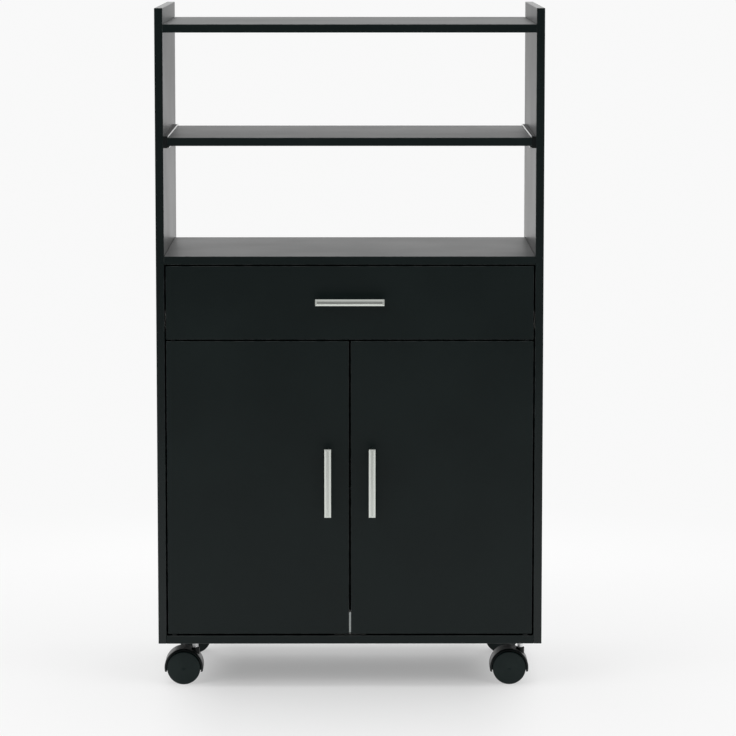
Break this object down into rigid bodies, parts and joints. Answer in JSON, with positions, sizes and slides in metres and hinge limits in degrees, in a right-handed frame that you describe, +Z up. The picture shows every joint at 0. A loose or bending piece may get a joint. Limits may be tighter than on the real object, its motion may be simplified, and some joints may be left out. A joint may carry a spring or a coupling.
{
  "type": "microwave stand with drawer",
  "caption": "Rolling microwave stand: side panels with a top shelf, a pull-out shelf and a cabinet with a drawer and doors, on swivel casters.",
  "frame": {"origin": "on the floor under the wheels, in the middle of the whole width and of the whole depth, handles included", "axes": "+X to the right, +Y to the back, +Z up; the doors and the drawer face -Y"},
  "size_m": [0.6, 0.418, 1.0615],
  "materials": {
    "black_laminate": "satin black melamine-faced board",
    "drawer_board": "satin black melamine-faced board",
    "black_hardboard": "matt black hardboard",
    "satin_nickel": "satin nickel plate",
    "zinc_steel": "bright zinc plate",
    "runner_enamel": "off-white enamel on folded steel",
    "black_plastic": "matt black plastic",
    "white_plastic": "satin white plastic",
    "caster_hood_plastic": "satin black nylon",
    "caster_wheel_plastic": "satin black nylon"
  },
  "bodies": {
    "carcass": {"side_panel_left": "black_laminate", "side_panel_right": "black_laminate", "top_shelf": "black_laminate", "counter_top": "black_laminate", "front_rail": "black_laminate", "bottom_board": "black_laminate", "back_panel": "black_hardboard", "inner_shelf": "black_laminate", "shelf_pegs": "zinc_steel", "cam_fittings": "zinc_steel", "shelf_rail_left": "zinc_steel", "shelf_rail_right": "zinc_steel", "shelf_glides": "black_plastic", "drawer_runner_left": "runner_enamel", "drawer_runner_right": "runner_enamel", "door_pivot_plates": "zinc_steel", "door_pivot_bushes": "black_plastic", "magnetic_catch": "white_plastic", "caster_stems": "zinc_steel", "caster_nuts": "zinc_steel"},
    "pull_out_shelf": {"middle_shelf": "black_laminate"},
    "drawer": {"drawer_front": "black_laminate", "drawer_side_left": "drawer_board", "drawer_side_right": "drawer_board", "drawer_back": "drawer_board", "drawer_bottom": "black_hardboard", "drawer_handle": "satin_nickel", "drawer_handle_screws": "zinc_steel", "drawer_slide_left": "runner_enamel", "drawer_slide_right": "runner_enamel"},
    "left_door": {"door_left": "black_laminate", "door_handle_left": "satin_nickel", "door_handle_screws_left": "zinc_steel", "door_pins_left": "zinc_steel", "strike_plate_left": "zinc_steel"},
    "right_door": {"door_right": "black_laminate", "door_handle_right": "satin_nickel", "door_handle_screws_right": "zinc_steel", "door_pins_right": "zinc_steel", "strike_plate_right": "zinc_steel"},
    "left_runner_roller": {"runner_roller_left": "white_plastic"},
    "right_runner_roller": {"runner_roller_right": "white_plastic"},
    "left_slide_roller": {"slide_roller_left": "white_plastic"},
    "right_slide_roller": {"slide_roller_right": "white_plastic"},
    "front_left_caster": {"front_left_caster_hood": "caster_hood_plastic", "front_left_caster_axle": "zinc_steel"},
    "front_left_front_wheel": {"front_left_caster_front_wheel": "caster_wheel_plastic"},
    "front_left_rear_wheel": {"front_left_caster_rear_wheel": "caster_wheel_plastic"},
    "front_right_caster": {"front_right_caster_hood": "caster_hood_plastic", "front_right_caster_axle": "zinc_steel"},
    "front_right_front_wheel": {"front_right_caster_front_wheel": "caster_wheel_plastic"},
    "front_right_rear_wheel": {"front_right_caster_rear_wheel": "caster_wheel_plastic"},
    "back_left_caster": {"back_left_caster_hood": "caster_hood_plastic", "back_left_caster_axle": "zinc_steel"},
    "back_left_front_wheel": {"back_left_caster_front_wheel": "caster_wheel_plastic"},
    "back_left_rear_wheel": {"back_left_caster_rear_wheel": "caster_wheel_plastic"},
    "back_right_caster": {"back_right_caster_hood": "caster_hood_plastic", "back_right_caster_axle": "zinc_steel"},
    "back_right_front_wheel": {"back_right_caster_front_wheel": "caster_wheel_plastic"},
    "back_right_rear_wheel": {"back_right_caster_rear_wheel": "caster_wheel_plastic"}
  },
  "joints": [
    {"name": "shelf_slide", "type": "slide", "parent": "carcass", "child": "pull_out_shelf", "axis": [0, -1, 0], "range_m": [0, 0.2]},
    {"name": "drawer_slide", "type": "slide", "parent": "carcass", "child": "drawer", "axis": [0, -1, 0], "range_m": [0, 0.25]},
    {"name": "left_door_hinge", "type": "hinge", "parent": "carcass", "child": "left_door", "pos_m": [-0.2749, -0.17465, 0.0857], "axis": [0, 0, -1], "range_deg": [0, 110]},
    {"name": "right_door_hinge", "type": "hinge", "parent": "carcass", "child": "right_door", "pos_m": [0.2749, -0.17465, 0.0857], "axis": [0, 0, 1], "range_deg": [0, 110]},
    {"name": "left_runner_roller_spin", "type": "hinge", "parent": "carcass", "child": "left_runner_roller", "pos_m": [-0.2814, -0.153, 0.57975], "axis": [1, 0, 0], "range_deg": [-5, 1602]},
    {"name": "left_slide_roller_spin", "type": "hinge", "parent": "drawer", "child": "left_slide_roller", "pos_m": [-0.28, 0.1185, 0.57525], "axis": [1, 0, 0], "range_deg": [-5, 1602]},
    {"name": "right_runner_roller_spin", "type": "hinge", "parent": "carcass", "child": "right_runner_roller", "pos_m": [0.2814, -0.153, 0.57975], "axis": [1, 0, 0], "range_deg": [-5, 1602]},
    {"name": "right_slide_roller_spin", "type": "hinge", "parent": "drawer", "child": "right_slide_roller", "pos_m": [0.28, 0.1185, 0.57525], "axis": [1, 0, 0], "range_deg": [-5, 1602]},
    {"name": "front_left_caster_swivel", "type": "hinge", "parent": "carcass", "child": "front_left_caster", "pos_m": [-0.244, -0.136, 0.07], "axis": [0, 0, 1], "continuous": true},
    {"name": "front_left_front_wheel_spin", "type": "hinge", "parent": "front_left_caster", "child": "front_left_front_wheel", "pos_m": [-0.262, -0.151, 0.0262], "axis": [0, 1, 0], "continuous": true},
    {"name": "front_left_rear_wheel_spin", "type": "hinge", "parent": "front_left_caster", "child": "front_left_rear_wheel", "pos_m": [-0.262, -0.121, 0.0262], "axis": [0, 1, 0], "continuous": true},
    {"name": "front_right_caster_swivel", "type": "hinge", "parent": "carcass", "child": "front_right_caster", "pos_m": [0.2687, -0.136, 0.07], "axis": [0, 0, 1], "continuous": true},
    {"name": "front_right_front_wheel_spin", "type": "hinge", "parent": "front_right_caster", "child": "front_right_front_wheel", "pos_m": [0.2507, -0.151, 0.0262], "axis": [0, 1, 0], "continuous": true},
    {"name": "front_right_rear_wheel_spin", "type": "hinge", "parent": "front_right_caster", "child": "front_right_rear_wheel", "pos_m": [0.2507, -0.121, 0.0262], "axis": [0, 1, 0], "continuous": true},
    {"name": "back_left_caster_swivel", "type": "hinge", "parent": "carcass", "child": "back_left_caster", "pos_m": [-0.237, 0.109, 0.07], "axis": [0, 0, 1], "continuous": true},
    {"name": "back_left_front_wheel_spin", "type": "hinge", "parent": "back_left_caster", "child": "back_left_front_wheel", "pos_m": [-0.255, 0.094, 0.0262], "axis": [0, 1, 0], "continuous": true},
    {"name": "back_left_rear_wheel_spin", "type": "hinge", "parent": "back_left_caster", "child": "back_left_rear_wheel", "pos_m": [-0.255, 0.124, 0.0262], "axis": [0, 1, 0], "continuous": true},
    {"name": "back_right_caster_swivel", "type": "hinge", "parent": "carcass", "child": "back_right_caster", "pos_m": [0.266, 0.109, 0.07], "axis": [0, 0, 1], "continuous": true},
    {"name": "back_right_front_wheel_spin", "type": "hinge", "parent": "back_right_caster", "child": "back_right_front_wheel", "pos_m": [0.248, 0.094, 0.0262], "axis": [0, 1, 0], "continuous": true},
    {"name": "back_right_rear_wheel_spin", "type": "hinge", "parent": "back_right_caster", "child": "back_right_rear_wheel", "pos_m": [0.248, 0.124, 0.0262], "axis": [0, 1, 0], "continuous": true}
  ],
  "couplings": [
    {"joint": "left_runner_roller_spin", "follows": "drawer_slide", "rad_per_m": 111.11},
    {"joint": "left_slide_roller_spin", "follows": "drawer_slide", "rad_per_m": 111.11},
    {"joint": "right_runner_roller_spin", "follows": "drawer_slide", "rad_per_m": 111.11},
    {"joint": "right_slide_roller_spin", "follows": "drawer_slide", "rad_per_m": 111.11}
  ]
}
